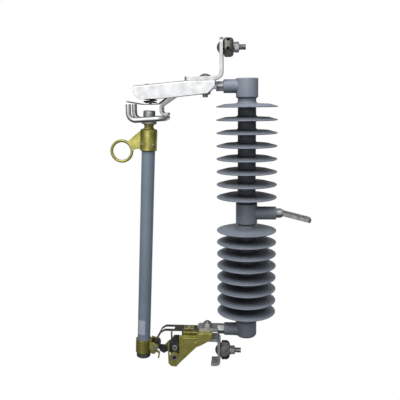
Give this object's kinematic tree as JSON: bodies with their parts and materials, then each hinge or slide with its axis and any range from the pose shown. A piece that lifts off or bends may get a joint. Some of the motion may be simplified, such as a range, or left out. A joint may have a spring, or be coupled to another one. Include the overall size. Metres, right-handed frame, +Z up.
{
  "type": "cutout sectionalizer",
  "caption": "Overhead line cutout on a ribbed polymer insulator, its hinged tube standing upright clear of the hood, with a load hook and a clamp at each terminal.",
  "frame": {"origin": "centre of the hole in the mounting strap", "axes": "+X to the right across the face, +Y away from the viewer, +Z up along the insulator"},
  "size_m": [0.3647, 0.1086, 0.6053],
  "materials": {
    "housing": "grey silicone rubber with a soft sheen",
    "composite": "glass-fibre rod, hidden inside",
    "galvanised_steel": "galvanised, pale and slightly mottled",
    "plated_bar": "tin-plated copper bar",
    "dark_steel": "darkened zinc",
    "jaw_alloy": "tin-plated bronze, greyish",
    "bronze": "cast bronze, sand texture",
    "dull_copper": "tarnished copper alloy",
    "dark_casting": "dark cast bronze",
    "tube_shell": "painted glass-fibre tube",
    "tube_lining": "dark fibre"
  },
  "bodies": {
    "frame": {"insulator_housing": "housing", "core_rod": "composite", "top_fitting": "galvanised_steel", "centre_fitting": "galvanised_steel", "bottom_fitting": "galvanised_steel", "mounting_strap": "galvanised_steel", "hood": "galvanised_steel", "upper_terminal_bar": "plated_bar", "spring_rivet": "galvanised_steel", "hook_strap": "galvanised_steel", "hook_rod": "galvanised_steel", "hood_bolt": "dark_steel", "hood_nut": "galvanised_steel", "hood_washer": "galvanised_steel", "upper_clamp_bolt": "dark_steel", "upper_clamp_inner_jaw": "jaw_alloy", "upper_clamp_outer_jaw": "jaw_alloy", "upper_clamp_washer": "galvanised_steel", "upper_clamp_nut": "galvanised_steel", "hinge_casting": "bronze", "lower_contact_strap": "dull_copper", "hinge_bolt": "dark_steel", "hinge_nut": "galvanised_steel", "contact_screw": "galvanised_steel", "contact_post": "bronze", "lower_terminal_bar": "plated_bar", "lower_clamp_bolt": "dark_steel", "lower_clamp_inner_jaw": "jaw_alloy", "lower_clamp_outer_jaw": "jaw_alloy", "lower_clamp_washer": "galvanised_steel", "lower_clamp_nut": "galvanised_steel"},
    "upper_contact": {"upper_contact_strip": "dull_copper", "contact_spring": "galvanised_steel", "contact_spring_seat": "dull_copper"},
    "trunnion": {"trunnion": "dark_casting", "pivot_pin": "dark_steel", "pivot_bushes": "bronze", "tail_screw": "dark_steel", "tail_nut": "galvanised_steel"},
    "holder": {"lower_tube_casting": "bronze", "toggle_pin": "dark_steel", "fuse_tube": "tube_shell", "tube_liner": "tube_lining", "tube_end_ring": "tube_lining", "upper_tube_casting": "bronze", "contact_cap": "dull_copper", "casting_pins": "dark_steel", "ejector_pin": "dark_steel"},
    "ejector": {"link_ejector": "bronze"}
  },
  "joints": [
    {"name": "trunnion_swing", "type": "hinge", "parent": "frame", "child": "trunnion", "pos_m": [-0.23246, 0, -0.26629], "axis": [0, -1, 0], "range_deg": [0, 145]},
    {"name": "holder_toggle", "type": "hinge", "parent": "trunnion", "child": "holder", "pos_m": [-0.26946, 0, -0.25099], "axis": [0, -1, 0], "range_deg": [0, 12]},
    {"name": "ejector_flip", "type": "hinge", "parent": "holder", "child": "ejector", "pos_m": [-0.27546, 0, -0.26539], "axis": [0, 1, 0], "range_deg": [0, 55]},
    {"name": "upper_contact_flex", "type": "hinge", "parent": "frame", "child": "upper_contact", "pos_m": [-0.24546, 0, 0.21421], "axis": [0, 1, 0], "range_deg": [0, 3], "deforming": ["upper_contact_strip", "contact_spring"]}
  ]
}
